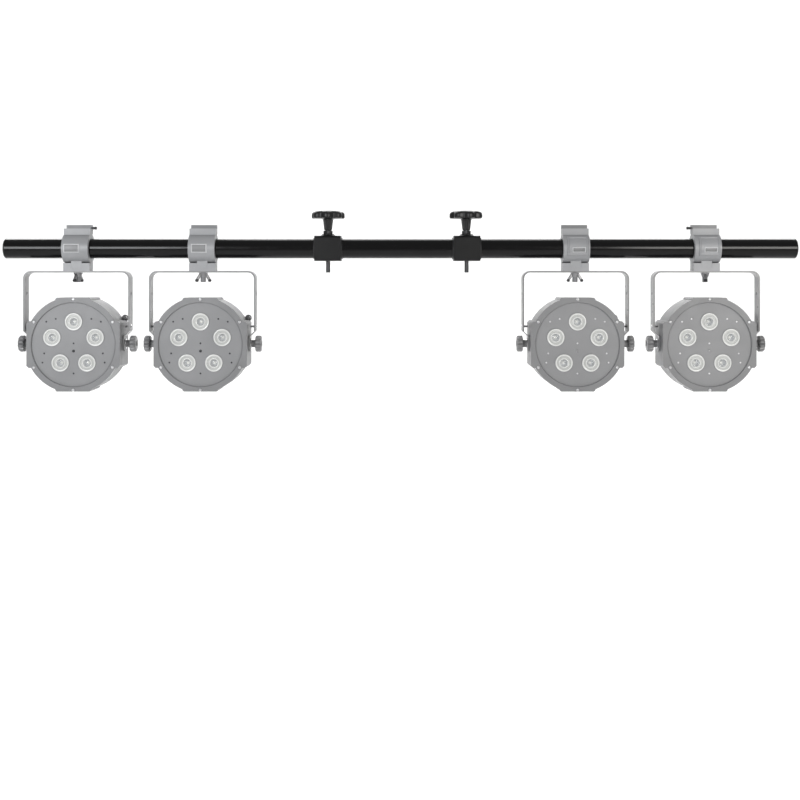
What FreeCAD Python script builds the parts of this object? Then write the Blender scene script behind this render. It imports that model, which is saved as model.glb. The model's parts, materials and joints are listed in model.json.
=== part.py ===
import FreeCAD, Part
import math
import os
import re

import Sketcher
from FreeCAD import Placement, Rotation, Vector

# A stage crossbar with four LED par lamps, in millimetres.
# +X runs along the bar, -Y is the side the lamps face and +Z is up.
# The origin is midway between the two brackets, on the plane that their undersides rest on.

DIMENSIONS = {
    # bar
    "bar_length": (1512, "over the end caps"),
    "bar_shift": (6, "bar's middle, from the brackets' middle"),
    "tube_od": (38.1, "outside of the tube"),
    "tube_wall": (2, ""),
    "cap_flange": (3, "end cap, outside the tube"),
    "cap_depth": (22, "end cap, inside the tube"),
    "cap_wall": (3, ""),
    "cap_bevel": (1.5, ""),
    # clearances
    "slide_fit": (0.1, "radial, where a piece slides or turns"),
    "gap": (0.2, "between flat faces that turn on each other"),
    # brackets
    "bracket_span": (265, "between the two brackets' middles"),
    "sleeve_size": (48, "outside of the square sleeve"),
    "sleeve_wall": (3, ""),
    "sleeve_length": (50, "along the bar"),
    "sleeve_corner": (5, "outside radius"),
    "collar_od": (41.6, "liner's collar, outside each end of the sleeve"),
    "collar": (2.4, ""),
    "boss_od": (24, "welded boss for the lock knob's stud"),
    "boss_rise": (3.2, ""),
    "bolt_od": (8, "M8 mounting studs"),
    "bolt_reach": (22, "mounting stud, below the bracket"),
    "bolt_neck_od": (11, "mounting stud, where it is pressed into the bracket"),
    "bolt_head_od": (20, ""),
    "bolt_head_rise": (1.5, ""),
    "head_relief": (1, "liner's radial clearance round a head or a stud"),
    "stud_od": (10, "M10: lock studs and yoke studs"),
    # lock knobs
    "lock_grip_od": (64.5, "over the lobes"),
    "lock_grip_low": (81.1, "underside of the grip, above the base"),
    "lock_grip_rise": (15, ""),
    "lock_neck_low": (58.2, "bottom of the neck, above the base"),
    "lock_neck_low_od": (12, ""),
    "lock_neck_top_od": (18, ""),
    "lock_flare": (3, "neck, under the grip"),
    "lock_rim": (1, "bevel under the lobes"),
    "lock_side": (4, "upright side of the lobes, below the top"),
    "lock_crown_in": (2.5, "upper bevel of the lobes"),
    "lock_crown_drop": (1.5, ""),
    "lock_top_in": (12, "flat top, inside the lobes' outline"),
    "lock_notch": (11.5, "radius of the scallops between lobes"),
    "lock_notch_out": (39, "scallop centres, from the knob's axis"),
    "jam_nut_corner": (9.8, "corner radius of the hexagon"),
    "jam_nut_rise": (6.4, ""),
    # where the lamps hang, along the bar
    "lamp_1_x": (-611, ""),
    "lamp_2_x": (-371.5, ""),
    "lamp_3_x": (340, ""),
    "lamp_4_x": (589, ""),
    # pipe clamps, measured from the tube's axis
    "clamp_width": (50, "along the bar"),
    "shell_od": (55, "outside of the two half shells"),
    "split": (1.5, "gap between the two halves"),
    "tab_low": (20, ""),
    "tab_top": (38, ""),
    "tab_depth": (9, ""),
    "block_depth": (13, "half depth of the lower block"),
    "block_drop": (43, "underside of the lower block"),
    "seat_gap": (0.5, "between jaw and block"),
    "tongue_width": (20, "jaw's hinge tongue"),
    "tongue_back": (7, "rear face of the tongue, in front of the axis"),
    "tongue_drop": (38, ""),
    "pin_od": (4, "hinge pin"),
    "pin_front": (10, "hinge pin, in front of the axis"),
    "pin_drop": (32.5, "hinge pin, below the axis"),
    "screw_od": (6, "closing screws"),
    "screw_x": (15, "closing screws, from the clamp's middle"),
    "screw_rise": (33.5, "closing screws, above the axis"),
    "screw_head_od": (9, ""),
    "screw_head": (6, ""),
    "bar_low": (28, "closing bar, above the axis"),
    "bar_top": (45.5, ""),
    "bar_thick": (4, ""),
    "stud_seat": (13, "depth of the yoke stud in the block"),
    "stud_drop": (64, "lower end of the yoke stud"),
    # yoke
    "yoke_width": (203, "over the legs"),
    "strap_width": (26, ""),
    "strap": (3, "thickness"),
    "yoke_corner": (15, "outside bend radius"),
    "joggle_drop": (157, "where the legs step inwards"),
    "lug_x": (88.2, "inner face of the lug, from the middle"),
    "joggle_skew": (1.24, "offset of the inner bend line"),
    "lug_reach": (15, "lug, below the pivot"),
    "leg_hole_od": (6, "spare hole"),
    "leg_hole_drop": (86, ""),
    "stop_od": (4, "riveted stop pin"),
    "stop_drop": (149, ""),
    "stop_x": (90.5, "tip of the stop pin"),
    "stop_length": (12.5, ""),
    # wing nut
    "nut_flange_od": (20, ""),
    "nut_flange": (1.5, ""),
    "nut_hub_od": (15, ""),
    "nut_hub": (8, ""),
    "wing_thick": (5, ""),
    "wing_root_in": (1.5, "wing's root, inside the hub's surface"),
    "wing_root_top": (1, "wing's upper edge, below the seat"),
    "wing_shoulder_out": (1, ""),
    "wing_foot": (8, "where the wing's lower edge leaves the hub"),
    "wing_out": (7, "widest point, outside the hub"),
    "wing_out_drop": (14, "widest point, below the seat"),
    "wing_drop": (17.5, "wing tips, below the seat"),
    "wing_tip_out": (6, "outer end of the tip"),
    "wing_tip_in": (2.5, "inner end of the tip"),
    # lamp head, measured from the tilt pivot
    "pivot_drop": (182, "tilt pivot, below the tube's axis"),
    "head_r": (90.5, "round part of the outline"),
    "head_half_x": (88, "to the side flats"),
    "head_half_z": (88.5, "to the top and bottom flats"),
    "ear_half_z": (44, "half height of the side flats"),
    "ear_half_x": (33.5, "half width of the top and bottom flats"),
    "side_bevel": (4, ""),
    "top_bevel": (2.5, ""),
    "housing_back": (33, "rear face, behind the pivot"),
    "housing_front": (29, "front rim, in front of the pivot"),
    "housing_wall": (3, ""),
    "cavity_r": (85, ""),
    "window_half_x": (50, "opening in the rear wall"),
    "window_half_z": (30, ""),
    "pillar_x": (56, "heat sink pillars"),
    "pillar_z": (37, ""),
    "pillar_od": (8, ""),
    "boss_x": (72, "inner end of the tilt bosses"),
    "tilt_boss_od": (18, ""),
    "bezel_rise": (6, ""),
    "bezel_r": (79, "bezel opening"),
    "bezel_bevel": (1.2, ""),
    "plate_r": (81, "face plate"),
    "plate_thick": (2.4, ""),
    "lens_circle": (43, "lens centres, from the head's middle"),
    "lens_od": (34, ""),
    "lens_proud": (1, "in front of the face plate"),
    "lens_body_od": (25, ""),
    "lens_body": (10.5, "behind the flange"),
    "emitter_od": (8, ""),
    "emitter": (1.5, ""),
    "board_r": (66, "LED board"),
    "board": (1.6, "thickness of a circuit board"),
    "board_front": (16, "front of the LED board, in front of the pivot"),
    "sink_r": (72, "heat sink"),
    "sink": (6.4, ""),
    "panel_half_x": (60, "rear panel"),
    "panel_half_z": (38, ""),
    "panel": (2, "thickness"),
    "signal_od": (22, "signal sockets"),
    "signal_bore_od": (17, ""),
    "signal_x": (22, ""),
    "signal_z": (14, ""),
    "power_half_x": (13.5, "power sockets"),
    "power_half_z": (9, ""),
    "power_bore_x": (11, ""),
    "power_bore_z": (6.5, ""),
    "power_x": (24, ""),
    "power_z": (15, ""),
    "socket_length": (22.5, ""),
    "socket_proud": (1.5, "behind the rear panel"),
    "socket_bore": (12, "depth"),
    "driver_back": (11.6, "rear of the driver board, behind the pivot"),
    "driver_half_x": (52, ""),
    "driver_half_z": (33, ""),
    "post_x": (44, "driver board posts"),
    "post_z": (25.5, ""),
    "post_od": (5, ""),
    "part_rise": (12, "components, in front of the driver board"),
    "block_left": (8, "power block, from the driver board's left edge"),
    "block_right": (40, ""),
    "block_low": (14, "power block, below the pivot"),
    "block_high": (16, "power block, above the pivot"),
    "can_r": (8, "capacitors"),
    "can_in": (14, "capacitors, from the driver board's right edge"),
    "can_high": (14, "upper capacitor, above the pivot"),
    "can_low": (8, "lower capacitor, below the pivot"),
    # tilt knobs
    "tilt_stud_od": (8, ""),
    "tilt_stud_in": (74, "inner end of the stud, from the middle"),
    "tilt_neck_od": (14, ""),
    "tilt_grip_in": (100.5, "inner face of the grip, from the middle"),
    "tilt_grip_od": (31, ""),
    "tilt_grip": (11.5, "thickness"),
    "tilt_bevel": (1.5, ""),
    "tilt_notch_r": (2.4, "grip notches"),
    "tilt_notch_out": (16.4, "notch centres, from the knob's axis"),
}
LENS_COUNT = 5
LOCK_LOBES = 7
TILT_NOTCHES = 10
# how far each lamp's wing nut is turned at rest, in degrees
WING_TURNS = {1: 75, 2: 30, 3: 0, 4: 80}

TUBE_AXIS = "sleeve_size / 2"
TILT_PIVOT = "sleeve_size / 2 - pivot_drop"
HALF_TURN = Rotation(Vector(0, 0, 1), 180)
V_AXIS = -2
H_AXIS = -1

doc = FreeCAD.newDocument("crossbar_with_lamps")
sheet = doc.addObject("Spreadsheet::Sheet", "Dims")
for row, (alias, (size, note)) in enumerate(DIMENSIONS.items(), start=1):
    sheet.set(f"A{row}", alias)
    sheet.set(f"B{row}", str(size))
    sheet.set(f"C{row}", note)
    sheet.setAlias(f"B{row}", alias)
doc.recompute()

nodes = []


# ---- expressions and sketches ----

def bound(expression):
    """The same expression, reading each of its names from the sheet."""
    return re.sub(r"[a-z]\w+", r"Dims.\g<0>", expression)


def number(expression):
    """An expression's value now."""
    return float(sheet.evalExpression(bound(expression)))


def on_circle(radius, turn):
    """Sketch coordinates on a circle about the origin, turn degrees round from its right side."""
    across = math.cos(math.radians(turn))
    up = math.sin(math.radians(turn))
    return f"{radius} * {across:.6f}", f"{radius} * {up:.6f}"


def new_body(name, x="0", z="0", turn=None):
    """An empty body whose own origin stands at (x, 0, z)."""
    body = doc.addObject("PartDesign::Body", name)
    body.Label = name
    body.AllowCompound = True
    if turn:
        body.Placement = Placement(Vector(), turn)
    body.setExpression("Placement.Base.x", bound(x))
    body.setExpression("Placement.Base.z", bound(z))
    return body


def new_sketch(body, plane, offset="0"):
    """A sketch on one of the body's origin planes, moved along that plane's normal (-Y for XZ)."""
    sketch = body.newObject("Sketcher::SketchObject", body.Name + "_sketch")
    support = [item for item in body.Origin.OriginFeatures if item.Role == plane + "_Plane"][0]
    sketch.AttachmentSupport = (support, [""])
    sketch.MapMode = "FlatFace"
    sketch.setExpression("AttachmentOffset.Base.z", bound(offset))
    return sketch


def hold(sketch, geometry, end, x, y):
    """Ties a point of a sketch to the place (x, y)."""
    for kind, axis, place in (("DistanceX", V_AXIS, x), ("DistanceY", H_AXIS, y)):
        if place == "0":
            sketch.addConstraint(Sketcher.Constraint("PointOnObject", geometry, end, axis))
            continue
        size = number(place)
        ends = (-1, 1, geometry, end) if size > 0 else (geometry, end, -1, 1)
        index = sketch.addConstraint(Sketcher.Constraint(kind, *ends, abs(size)))
        sketch.setExpression(f"Constraints[{index}]", bound(place if size > 0 else f"-({place})"))


def circle(sketch, radius, x="0", y="0"):
    centre = Vector(number(x), number(y), 0)
    ring = sketch.addGeometry(Part.Circle(centre, Vector(0, 0, 1), number(radius)), False)
    index = sketch.addConstraint(Sketcher.Constraint("Radius", ring, number(radius)))
    sketch.setExpression(f"Constraints[{index}]", bound(radius))
    hold(sketch, ring, 3, x, y)


def polygon(sketch, corners):
    points = [Vector(number(x), number(y), 0) for x, y in corners]
    sides = [
        sketch.addGeometry(Part.LineSegment(here, after), False)
        for here, after in zip(points, points[1:] + points[:1])
    ]
    for side, after in zip(sides, sides[1:] + sides[:1]):
        sketch.addConstraint(Sketcher.Constraint("Coincident", side, 2, after, 1))
    for side, (x, y) in zip(sides, corners):
        hold(sketch, side, 1, x, y)


def rectangle(sketch, left, low, right, high):
    polygon(sketch, [(left, low), (right, low), (right, high), (left, high)])


def octagon(sketch, half_x, half_y, bevel):
    """A rectangle about the origin with its four corners bevelled."""
    short_x = f"({half_x} - {bevel})"
    short_y = f"({half_y} - {bevel})"
    polygon(sketch, [
        (half_x, f"-{short_y}"), (half_x, short_y), (short_x, half_y), (f"-{short_x}", half_y),
        (f"-{half_x}", short_y), (f"-{half_x}", f"-{short_y}"),
        (f"-{short_x}", f"-{half_y}"), (short_x, f"-{half_y}"),
    ])


# ---- features ----

def extrude(kind, body, sketch, length, both, back):
    feature = body.newObject("PartDesign::" + kind, f"{body.Name}_{kind.lower()}")
    feature.Profile = sketch
    feature.SideType = "Symmetric" if both else "One side"
    feature.Reversed = back
    feature.setExpression("Length", bound(length))
    return feature


def pad(body, sketch, length, both=False, back=False):
    """Material along the sketch's normal, on both sides of it, or back against the normal."""
    return extrude("Pad", body, sketch, length, both, back)


def pocket(body, sketch, length, both=False, along=False):
    """A cut against the sketch's normal, on both sides of it, or along the normal."""
    doc.recompute()
    before = body.Shape.Volume
    feature = extrude("Pocket", body, sketch, length, both, along)
    doc.recompute()
    if body.Shape.Volume > before - 0.01:
        raise ValueError(f"{feature.Name} cuts nothing")
    return feature


def revolve(body, sketch, axis):
    feature = body.newObject("PartDesign::Revolution", body.Name + "_turned")
    feature.Profile = sketch
    feature.ReferenceAxis = (sketch, [axis])
    feature.Angle = 360
    return feature


def repeat_round(body, feature, sketch, count):
    """Repeats a feature round the sketch's normal."""
    pattern = body.newObject("PartDesign::PolarPattern", feature.Name + "_pattern")
    pattern.Originals = [feature]
    pattern.Axis = (sketch, ["N_Axis"])
    pattern.Angle = 360
    pattern.Occurrences = count
    body.Tip = pattern
    doc.recompute()


def dress(kind, body, size, chosen):
    """Fillets or chamfers the edges of the body's shape for which chosen(edge) is true."""
    doc.recompute()
    base = body.Tip
    names = [f"Edge{i}" for i, edge in enumerate(base.Shape.Edges, start=1) if chosen(edge)]
    feature = body.newObject("PartDesign::" + kind, f"{body.Name}_{kind.lower()}")
    feature.Base = (base, names)
    feature.setExpression("Radius" if kind == "Fillet" else "Size", bound(size))
    return feature


def is_near(point, **places):
    return all(abs(getattr(point, axis) - place) < 0.01 for axis, place in places.items())


def group(name, members, x="0", z="0", turn=None):
    """Several solids that share one node."""
    item = doc.addObject("Part::Compound", name)
    item.Label = name
    item.Links = members
    if turn:
        item.Placement = Placement(Vector(), turn)
    item.setExpression("Placement.Base.x", bound(x))
    item.setExpression("Placement.Base.z", bound(z))
    nodes.append(item)


# ---- bar, brackets and lock knobs ----

def make_tube():
    body = new_body("crossbar_tube", "bar_shift", TUBE_AXIS)
    ring = new_sketch(body, "YZ")
    circle(ring, "tube_od / 2")
    circle(ring, "tube_od / 2 - tube_wall")
    pad(body, ring, "bar_length - 2 * cap_flange", both=True)
    nodes.append(body)


def make_end_cap(name, turn):
    body = new_body(name, turn=turn)
    flange = new_sketch(body, "YZ", "bar_length / 2 - cap_flange")
    circle(flange, "tube_od / 2")
    pad(body, flange, "cap_flange")
    rim_x = number("bar_length / 2")
    dress("Chamfer", body, "cap_bevel", lambda edge: is_near(edge.CenterOfMass, x=rim_x))
    plug = new_sketch(body, "YZ", "bar_length / 2 - cap_flange")
    circle(plug, "tube_od / 2 - tube_wall")
    circle(plug, "tube_od / 2 - tube_wall - cap_wall")
    pad(body, plug, "cap_depth", back=True)
    return body


def make_bracket(name, x):
    body = new_body(name, x)
    outer = new_sketch(body, "YZ")
    rectangle(outer, "-sleeve_size / 2", "0", "sleeve_size / 2", "sleeve_size")
    pad(body, outer, "sleeve_length", both=True)
    dress("Fillet", body, "sleeve_corner", lambda edge: is_near(edge.CenterOfMass, x=0))
    inner = new_sketch(body, "YZ")
    rectangle(
        inner, "-(sleeve_size / 2 - sleeve_wall)", "sleeve_wall",
        "sleeve_size / 2 - sleeve_wall", "sleeve_size - sleeve_wall",
    )
    pocket(body, inner, "sleeve_length + 2", both=True)
    boss = new_sketch(body, "XY", "sleeve_size")
    circle(boss, "boss_od / 2")
    pad(body, boss, "boss_rise")
    stud_hole = new_sketch(body, "XY", "sleeve_size")
    circle(stud_hole, "stud_od / 2 + slide_fit")
    pocket(body, stud_hole, "4 * sleeve_wall", both=True)
    bolt_hole = new_sketch(body, "XY")
    circle(bolt_hole, "bolt_neck_od / 2")
    pocket(body, bolt_hole, "4 * sleeve_wall", both=True)
    nodes.append(body)


def make_liner(name, x):
    body = new_body(name, x)
    block = new_sketch(body, "YZ")
    rectangle(
        block, "-(sleeve_size / 2 - sleeve_wall)", "sleeve_wall",
        "sleeve_size / 2 - sleeve_wall", "sleeve_size - sleeve_wall",
    )
    pad(body, block, "sleeve_length", both=True)
    for start in ("sleeve_length / 2", "-(sleeve_length / 2 + collar)"):
        ring = new_sketch(body, "YZ", start)
        circle(ring, "collar_od / 2", "0", TUBE_AXIS)
        pad(body, ring, "collar")
    bore = new_sketch(body, "YZ")
    circle(bore, "tube_od / 2 + slide_fit", "0", TUBE_AXIS)
    pocket(body, bore, "2 * sleeve_length", both=True)
    reliefs = {"sleeve_wall": "bolt_head_od / 2", "sleeve_size - sleeve_wall": "stud_od / 2"}
    for height, radius in reliefs.items():
        relief = new_sketch(body, "XY", height)
        circle(relief, f"{radius} + head_relief")
        pocket(body, relief, "8 * sleeve_wall", both=True)
    return body


def make_bolts():
    body = new_body("mounting_bolts")
    heads = new_sketch(body, "XY", "sleeve_wall")
    necks = new_sketch(body, "XY")
    shanks = new_sketch(body, "XY")
    for side in ("bracket_span / 2", "-bracket_span / 2"):
        circle(heads, "bolt_head_od / 2", side)
        circle(necks, "bolt_neck_od / 2", side)
        circle(shanks, "bolt_od / 2", side)
    pad(body, heads, "bolt_head_rise")
    pad(body, necks, "sleeve_wall")
    pad(body, shanks, "bolt_reach", back=True)
    nodes.append(body)


def make_lock_knob(name, x, turn):
    grip = new_body(name + "_grip", turn=Rotation(Vector(0, 0, 1), turn))
    profile = new_sketch(grip, "XZ")
    grip_r = "lock_grip_od / 2"
    grip_top = "(lock_grip_low + lock_grip_rise)"
    polygon(profile, [
        ("0", "lock_neck_low"), ("lock_neck_low_od / 2", "lock_neck_low"),
        ("lock_neck_top_od / 2", "lock_grip_low - lock_flare"),
        ("lock_neck_top_od / 2 + lock_flare", "lock_grip_low"),
        (f"{grip_r} - lock_rim", "lock_grip_low"), (grip_r, "lock_grip_low + lock_rim"),
        (grip_r, f"{grip_top} - lock_side"), (f"{grip_r} - lock_crown_in", f"{grip_top} - lock_crown_drop"),
        (f"{grip_r} - lock_top_in", grip_top), ("0", grip_top),
    ])
    revolve(grip, profile, "V_Axis")
    scallop = new_sketch(grip, "XY", "lock_grip_low")
    circle(scallop, "lock_notch", "lock_notch_out", "0")
    cut = pocket(grip, scallop, "3 * lock_grip_rise", both=True)
    repeat_round(grip, cut, scallop, LOCK_LOBES)
    stud = new_sketch(grip, "XY", "lock_neck_low")
    circle(stud, "stud_od / 2")
    pad(grip, stud, f"lock_neck_low - ({TUBE_AXIS} + tube_od / 2 + slide_fit)", back=True)
    nut = new_body(name + "_jam_nut")
    hexagon = new_sketch(nut, "XY", "sleeve_size + boss_rise + gap")
    polygon(hexagon, [on_circle("jam_nut_corner", 60 * side + 30) for side in range(6)])
    circle(hexagon, "stud_od / 2")
    pad(nut, hexagon, "jam_nut_rise")
    group(name, [grip, nut], x)


# ---- pipe clamp, yoke and wing nut: measured from the tube's axis ----

def make_clamp_body(name, x):
    body = new_body(name, x, TUBE_AXIS)
    shell = new_sketch(body, "YZ")
    circle(shell, "shell_od / 2")
    pad(body, shell, "clamp_width", both=True)
    front = new_sketch(body, "YZ")
    rectangle(front, "-shell_od", "-shell_od", "split / 2", "shell_od")
    pocket(body, front, "2 * clamp_width", both=True)
    tab = new_sketch(body, "YZ")
    rectangle(tab, "split / 2", "tab_low", "tab_depth", "tab_top")
    pad(body, tab, "clamp_width", both=True)
    web = new_sketch(body, "YZ")
    rectangle(web, "split / 2", "-block_drop", "block_depth", "-tab_low")
    pad(body, web, "clamp_width", both=True)
    block = new_sketch(body, "YZ")
    rectangle(block, "-block_depth", "-block_drop", "block_depth", "-(shell_od / 2 + seat_gap)")
    pad(body, block, "clamp_width", both=True)
    bore = new_sketch(body, "YZ")
    circle(bore, "tube_od / 2 + slide_fit")
    pocket(body, bore, "2 * clamp_width", both=True)
    slot = new_sketch(body, "YZ")
    rectangle(slot, "-2 * block_depth", "-(tongue_drop + gap)", "-(tongue_back - gap)", "-tab_low")
    pocket(body, slot, "tongue_width + 2 * gap", both=True)
    pin_hole = new_sketch(body, "YZ")
    circle(pin_hole, "pin_od / 2", "-pin_front", "-pin_drop")
    pocket(body, pin_hole, "2 * clamp_width", both=True)
    stud_hole = new_sketch(body, "XY", "-block_drop")
    circle(stud_hole, "stud_od / 2")
    pocket(body, stud_hole, "stud_seat", along=True)
    screw_holes = new_sketch(body, "XZ")
    for side in ("screw_x", "-screw_x"):
        circle(screw_holes, "screw_od / 2", side, "screw_rise")
    pocket(body, screw_holes, "4 * tab_depth", both=True)
    nodes.append(body)


def make_clamp_jaw(name, x):
    body = new_body(name, x, TUBE_AXIS)
    shell = new_sketch(body, "YZ")
    circle(shell, "shell_od / 2")
    pad(body, shell, "clamp_width", both=True)
    rear = new_sketch(body, "YZ")
    rectangle(rear, "-split / 2", "-shell_od", "shell_od", "shell_od")
    pocket(body, rear, "2 * clamp_width", both=True)
    tab = new_sketch(body, "YZ")
    rectangle(tab, "-tab_depth", "tab_low", "-split / 2", "tab_top")
    pad(body, tab, "clamp_width", both=True)
    tongue = new_sketch(body, "YZ")
    rectangle(tongue, "-(block_depth - gap)", "-tongue_drop", "-tongue_back", "-tab_low")
    pad(body, tongue, "tongue_width", both=True)
    bore = new_sketch(body, "YZ")
    circle(bore, "tube_od / 2 + slide_fit")
    pocket(body, bore, "2 * clamp_width", both=True)
    pin_hole = new_sketch(body, "YZ")
    circle(pin_hole, "pin_od / 2 + slide_fit", "-pin_front", "-pin_drop")
    pocket(body, pin_hole, "2 * clamp_width", both=True)
    screw_holes = new_sketch(body, "XZ", "split / 2")
    for side in ("screw_x", "-screw_x"):
        circle(screw_holes, "screw_od / 2", side, "screw_rise")
    pocket(body, screw_holes, "tab_depth - 3 * split / 2", along=True)
    nodes.append(body)


def make_clamp_fasteners(name, x):
    """Yoke stud, hinge pin and the two closing screws that draw the rear bar and the tabs together."""
    rods = new_body(name + "_rods")
    stud = new_sketch(rods, "XY", "-stud_drop")
    circle(stud, "stud_od / 2")
    pad(rods, stud, "stud_drop - block_drop + stud_seat")
    pin = new_sketch(rods, "YZ")
    circle(pin, "pin_od / 2", "-pin_front", "-pin_drop")
    pad(rods, pin, "clamp_width", both=True)
    shanks = new_sketch(rods, "XZ", "-(tab_depth + bar_thick)")
    heads = new_sketch(rods, "XZ", "-(tab_depth + bar_thick)")
    for side in ("screw_x", "-screw_x"):
        circle(shanks, "screw_od / 2", side, "screw_rise")
        circle(heads, "screw_head_od / 2", side, "screw_rise")
    pad(rods, shanks, "2 * tab_depth + bar_thick - 2 * split")
    pad(rods, heads, "screw_head", back=True)
    plate = new_body(name + "_bar")
    strip = new_sketch(plate, "XZ", "-tab_depth")
    rectangle(strip, "-clamp_width / 2", "bar_low", "clamp_width / 2", "bar_top")
    for side in ("screw_x", "-screw_x"):
        circle(strip, "screw_od / 2", side, "screw_rise")
    pad(plate, strip, "bar_thick", back=True)
    group(name, [rods, plate], x, TUBE_AXIS)


def make_yoke(name, x):
    body = new_body(name, x, TUBE_AXIS)
    step = "(yoke_width / 2 - strap - lug_x)"
    right = [
        ("yoke_width / 2", "-block_drop"), ("yoke_width / 2", "-joggle_drop"),
        ("lug_x + strap", f"-(joggle_drop + {step})"), ("lug_x + strap", "-(pivot_drop + lug_reach)"),
        ("lug_x", "-(pivot_drop + lug_reach)"), ("lug_x", f"-(joggle_drop + {step} + joggle_skew)"),
        ("yoke_width / 2 - strap", "-(joggle_drop + joggle_skew)"),
        ("yoke_width / 2 - strap", "-(block_drop + strap)"),
    ]
    left = [(f"-({across})", down) for across, down in reversed(right)]
    outline = new_sketch(body, "XZ")
    polygon(outline, right + left)
    pad(body, outline, "strap_width", both=True)
    bend_x = number("yoke_width / 2")
    top_z = -number("block_drop")
    thick = number("strap")

    def at_bend(edge, inset):
        middle = edge.CenterOfMass
        return is_near(middle, y=0, z=top_z - inset) and abs(abs(middle.x) - bend_x + inset) < 0.01

    dress("Fillet", body, "yoke_corner", lambda edge: at_bend(edge, 0))
    dress("Fillet", body, "yoke_corner - strap", lambda edge: at_bend(edge, thick))
    end_z = -number("pivot_drop + lug_reach")
    half = number("strap_width / 2")

    def at_lug_end(edge):
        middle = edge.CenterOfMass
        return is_near(middle, z=end_z) and abs(abs(middle.y) - half) < 0.01

    dress("Fillet", body, "strap_width / 2 - slide_fit", at_lug_end)
    for start in ("stop_x", "-(stop_x + stop_length)"):
        stop = new_sketch(body, "YZ", start)
        circle(stop, "stop_od / 2", "0", "-stop_drop")
        pad(body, stop, "stop_length")
    pan_hole = new_sketch(body, "XY", "-block_drop")
    circle(pan_hole, "stud_od / 2 + slide_fit")
    pocket(body, pan_hole, "4 * strap", both=True)
    pivots = new_sketch(body, "YZ")
    circle(pivots, "tilt_stud_od / 2 + slide_fit", "0", "-pivot_drop")
    circle(pivots, "leg_hole_od / 2", "0", "-leg_hole_drop")
    pocket(body, pivots, "2 * yoke_width", both=True)
    nodes.append(body)


def make_wing_nut(name, x, turn):
    body = new_body(name, x, TUBE_AXIS, Rotation(Vector(0, 0, 1), turn))
    seat = "-(block_drop + strap + gap)"
    flange = new_sketch(body, "XY", seat)
    circle(flange, "nut_flange_od / 2")
    pad(body, flange, "nut_flange", back=True)
    hub = new_sketch(body, "XY", seat)
    circle(hub, "nut_hub_od / 2")
    pad(body, hub, "nut_hub", back=True)
    for side in ("", "-"):
        wing = new_sketch(body, "XZ")
        polygon(wing, [
            (f"{side}(nut_hub_od / 2 - wing_root_in)", f"{seat} - wing_root_top"),
            (f"{side}(nut_hub_od / 2 + wing_shoulder_out)", f"{seat} - nut_flange"),
            (f"{side}(nut_hub_od / 2 + wing_out)", f"{seat} - wing_out_drop"),
            (f"{side}(nut_hub_od / 2 + wing_tip_out)", f"{seat} - wing_drop"),
            (f"{side}(nut_hub_od / 2 + wing_tip_in)", f"{seat} - wing_drop"),
            (f"{side}(nut_hub_od / 2 - wing_root_in)", f"{seat} - wing_foot"),
        ])
        pad(body, wing, "wing_thick", both=True)
    thread = new_sketch(body, "XY", seat)
    circle(thread, "stud_od / 2 + slide_fit")
    pocket(body, thread, "4 * nut_hub", both=True)
    nodes.append(body)


# ---- lamp head: measured from the tilt pivot ----

def head_outline(body, start, length):
    """The head's outline: round, cut by four flats, with a short bevelled ear behind each flat."""
    disc = new_sketch(body, "XZ", start)
    circle(disc, "head_r")
    pad(body, disc, length)
    flats = new_sketch(body, "XZ", start)
    rectangle(flats, "-head_r - 1", "-head_r - 1", "head_r + 1", "head_r + 1")
    rectangle(flats, "-head_half_x", "-head_half_z", "head_half_x", "head_half_z")
    pocket(body, flats, length, along=True)
    side_ears = new_sketch(body, "XZ", start)
    octagon(side_ears, "head_half_x", "ear_half_z", "side_bevel")
    pad(body, side_ears, length)
    end_ears = new_sketch(body, "XZ", start)
    octagon(end_ears, "ear_half_x", "head_half_z", "top_bevel")
    pad(body, end_ears, length)


def make_housing(name, x):
    body = new_body(name, x, TILT_PIVOT)
    head_outline(body, "-housing_back", "housing_back + housing_front")
    cavity = new_sketch(body, "XZ", "-(housing_back - housing_wall)")
    circle(cavity, "cavity_r")
    pocket(body, cavity, "housing_back - housing_wall + housing_front", along=True)
    window = new_sketch(body, "XZ", "-housing_back")
    rectangle(window, "-window_half_x", "-window_half_z", "window_half_x", "window_half_z")
    pocket(body, window, "housing_wall", along=True)
    pillars = new_sketch(body, "XZ", "board_front - board - sink")
    for side in ("pillar_x", "-pillar_x"):
        for level in ("pillar_z", "-pillar_z"):
            circle(pillars, "pillar_od / 2", side, level)
    pad(body, pillars, "board_front - board - sink + housing_back - housing_wall", back=True)
    for start in ("boss_x", "-(cavity_r + 1)"):
        boss = new_sketch(body, "YZ", start)
        circle(boss, "tilt_boss_od / 2")
        pad(body, boss, "cavity_r + 1 - boss_x")
    tilt_hole = new_sketch(body, "YZ")
    circle(tilt_hole, "tilt_stud_od / 2 + slide_fit")
    pocket(body, tilt_hole, "4 * head_half_x", both=True)
    nodes.append(body)


def make_bezel(name, x):
    body = new_body(name, x, TILT_PIVOT)
    head_outline(body, "housing_front", "bezel_rise")
    opening = new_sketch(body, "XZ", "housing_front")
    circle(opening, "bezel_r")
    pocket(body, opening, "bezel_rise", along=True)
    rebate = new_sketch(body, "XZ", "housing_front")
    circle(rebate, "plate_r + gap")
    pocket(body, rebate, "plate_thick + slide_fit", along=True)
    front_y = -number("housing_front + bezel_rise")
    dress("Chamfer", body, "bezel_bevel", lambda edge: is_near(edge.CenterOfMass, x=0, y=front_y, z=0))
    nodes.append(body)


def lens_places():
    return [on_circle("lens_circle", 90 + 360 / LENS_COUNT * turn) for turn in range(LENS_COUNT)]


def make_face_plate(name, x):
    body = new_body(name, x, TILT_PIVOT)
    plate = new_sketch(body, "XZ", "housing_front")
    circle(plate, "plate_r")
    for across, up in lens_places():
        circle(plate, "lens_od / 2 + gap", across, up)
    pad(body, plate, "plate_thick")
    nodes.append(body)


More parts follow.
